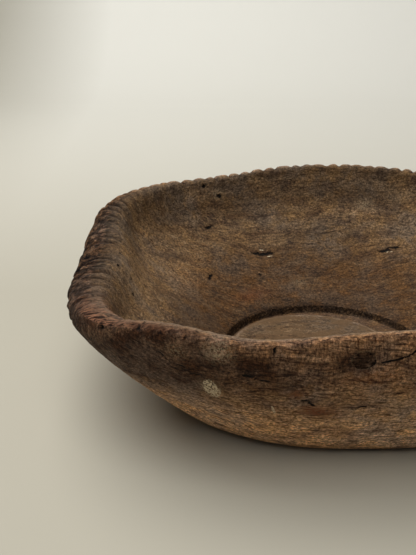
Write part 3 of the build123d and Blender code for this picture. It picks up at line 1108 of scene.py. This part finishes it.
def stained(tree, grain, colour):
    """Use and age: wear, stains and broken grain laid over the clean wood, with painted shade, painted light
    and painted highlights.
    """
    share = tree.share
    patchy = share(grain.blotches, 0.40, 0.56, 0.6, 1.0)

    def lay(name, amount, over, base):
        """Lays a flat colour over the base where the mask says."""
        return tree.mix(tree.math("MULTIPLY", tree.mask(name), amount), base, over)

    def tint(name, amount, factors, base):
        """Multiplies the base by the factors where the mask says."""
        return tree.mix(tree.math("MULTIPLY", tree.mask(name), amount), base, (*factors, 1), "MULTIPLY")

    for name, amount, factors in (
        # Lighter where tan: stains, and painted light on the inner left wall.
        ("tan", share(grain.specks, 0.36, 0.56, 0.68, 0.9), (2.35, 2.35, 2.28)),
        ("dark", patchy, (0.15, 0.115, 0.105)),
        # Painted shade, darker towards the floor of the inside.
        ("low", patchy, (0.56, 0.46, 0.38)),
        # Painted light: the whole outer wall, which faces away from the key lamp, is made about 2.4 times
        # lighter.
        ("outer", 1.0, (2.45, 2.42, 2.62)),
        ("outer", share(grain.specks, 0.46, 0.36, 0.0, 0.5), (0.35, 0.29, 0.27)),
        ("outer", share(grain.dashes, 0.55, 0.62, 0.0, 0.8), (0.40, 0.33, 0.30)),
        ("gouged", patchy, (0.88, 0.81, 0.78)),
        # Painted shade in the gouge lines and painted highlight on the ridges between them.
        ("gouged", share(grain.hatch, 0.49, 0.36), (0.36, 0.28, 0.25)),
        ("gouged", share(grain.hatch, 0.53, 0.66, 0.0, 0.8), (1.7, 1.6, 1.5)),
        ("end_grain", patchy, (0.34, 0.30, 0.28)),
        # Painted shadow in the creases between the broken chunks of end grain and painted highlight on their
        # ridges.
        ("end_grain", share(grain.furrows, 0.52, 0.44), (0.035, 0.025, 0.022)),
        ("end_grain", share(grain.furrows, 0.53, 0.66), (2.3, 2.1, 1.9)),
    ):
        colour = tint(name, amount, factors, colour)
    colour = lay("torn", share(grain.fibres, 0.40, 0.54), TORN_WOOD, colour)
    colour = tint("torn", share(grain.dashes, 0.51, 0.57), (0.10, 0.07, 0.06), colour)
    colour = lay("rust", share(grain.specks, 0.38, 0.52), RUST, colour)
    colour = lay("pale", share(grain.grit, 0.46, 0.56), RESIDUE, colour)
    spot = share(mark_distance(tree, grain, "spot", (0.7, 0.7, 0.0)), 1.05, 0.85)
    spot = tree.math("MULTIPLY", spot, share(grain.grit, 0.43, 0.53))
    colour = tree.mix(spot, colour, PALE_SPOT)
    off_ring = tree.math("SUBTRACT", mark_distance(tree, grain, "knot_ring", (0.5, 0.5, 0.0)), 1.0)
    ring = share(tree.math("ABSOLUTE", off_ring, 0.0), 0.30, 0.14)
    ring = tree.math("MULTIPLY", ring, share(grain.specks, 0.42, 0.52))
    colour = tree.mix(ring, colour, HEALED_RING)
    # Partly wear, partly painted highlight on the crest and on the disc's top edge.
    colour = lay("wear_and_highlight", share(grain.specks, 0.34, 0.58, 0.25, 0.9), RUBBED_AND_HIGHLIGHT, colour)
    colour = lay("worn_disc", share(grain.blotches, 0.42, 0.54, 0.0, 0.85), WORN_DISC, colour)
    # Painted shade on the recess step and at the foot of the inner wall, with some dirt in the groove.
    colour = tint("recess_shade_and_grime", share(grain.specks, 0.60, 0.40, 0.7, 1.0), (0.11, 0.072, 0.05), colour)
    # Painted shade in the knife cuts, the torn furrows and the pits.
    return tint("hollow_shade", 1.0, (0.12, 0.085, 0.07), colour)


def floor_sheet():
    """Seamless pale paper under and behind the bowl, coloured with painted light and shade."""
    side = 12.0
    front = -12.0
    bend = 0.8
    back = 2.2
    rise = 2.5
    profile = [(front, 0.0), (back - bend, 0.0)]
    for arc in np.radians(np.linspace(0, 90, 13)[1:]):
        profile.append((back - bend + bend * sin(arc), bend - bend * cos(arc)))
    profile.append((back, rise))
    corners = [(x, y, z) for y, z in profile for x in (-side, side)]
    sheets = [(2 * i, 2 * i + 1, 2 * i + 3, 2 * i + 2) for i in range(len(profile) - 1)]
    floor = new_object("floor", np.array(corners) / MM, sheets)
    tree = Tree("pale_paper")
    place = tree.put("ShaderNodeSeparateXYZ", {0: tree.put("ShaderNodeTexCoord", {}).outputs["Object"]})
    # Painted light and shade on one paper: darker near the camera and at the far left, lighter up the
    # backdrop.
    depth = tree.share(place.outputs["Y"], 0.2, 2.2)
    left = tree.share(place.outputs["X"], -0.4, -0.85)
    near_shaded_tone = (0.41, 0.39, 0.325, 1)
    far_lit_tone = (0.92, 0.92, 0.87, 1)
    left_shaded_tone = (0.31, 0.29, 0.225, 1)
    far = tree.mix(left, far_lit_tone, left_shaded_tone)
    tree.feed(tree.shader.inputs["Base Color"], tree.mix(depth, near_shaded_tone, far))
    tree.shader.inputs["Roughness"].default_value = 0.9
    tree.shader.inputs["Specular IOR Level"].default_value = 0.1
    floor.data.materials.append(tree.material)


def area_light(name, at, aim, size, power, colour):
    lamp = bpy.data.lights.new(name, "AREA")
    lamp.shape = "DISK"
    lamp.size = size
    lamp.energy = power
    lamp.color = colour
    holder = linked(name, lamp)
    holder.location = at
    holder.rotation_euler = (Vector(aim) - Vector(at)).to_track_quat("-Z", "Y").to_euler()


def room_light(colour, strength):
    world = bpy.data.worlds.new("room")
    bpy.context.scene.world = world
    world.use_nodes = True
    sky = world.node_tree.nodes["Background"]
    sky.inputs["Color"].default_value = (*colour, 1)
    sky.inputs["Strength"].default_value = strength


def camera():
    data = bpy.data.cameras.new("camera")
    data.sensor_fit = "VERTICAL"
    data.sensor_height = 36.0
    data.lens = FOCAL_PX * data.sensor_height / FRAME_HEIGHT_PX
    holder = linked("camera", data)
    holder.location = Vector(CAMERA_AT) * MM
    holder.rotation_euler = (radians(90 - CAMERA_PITCH), 0, 0)
    bpy.context.scene.camera = holder


bowl = carve_bowl()
knot = split_knot(bowl)
bowl.data.materials.append(old_wood())
knot.data.materials.append(knot_wood())
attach(knot, "root")
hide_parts("dead_knot")
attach(bowl, "root")
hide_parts("bowl_body")

floor_sheet()
area_light("key", (-0.8, 0.4, 2.0), (0, 0, 0.05), 2.3, 50, (1.0, 0.98, 0.95))
area_light("fill", (-0.2, -1.3, 2.1), (0, 0, 0.05), 1.9, 33, (1.0, 0.98, 0.95))
room_light((0.92, 0.91, 0.88), 0.14)
camera()
bpy.context.scene.view_settings.view_transform = "Standard"
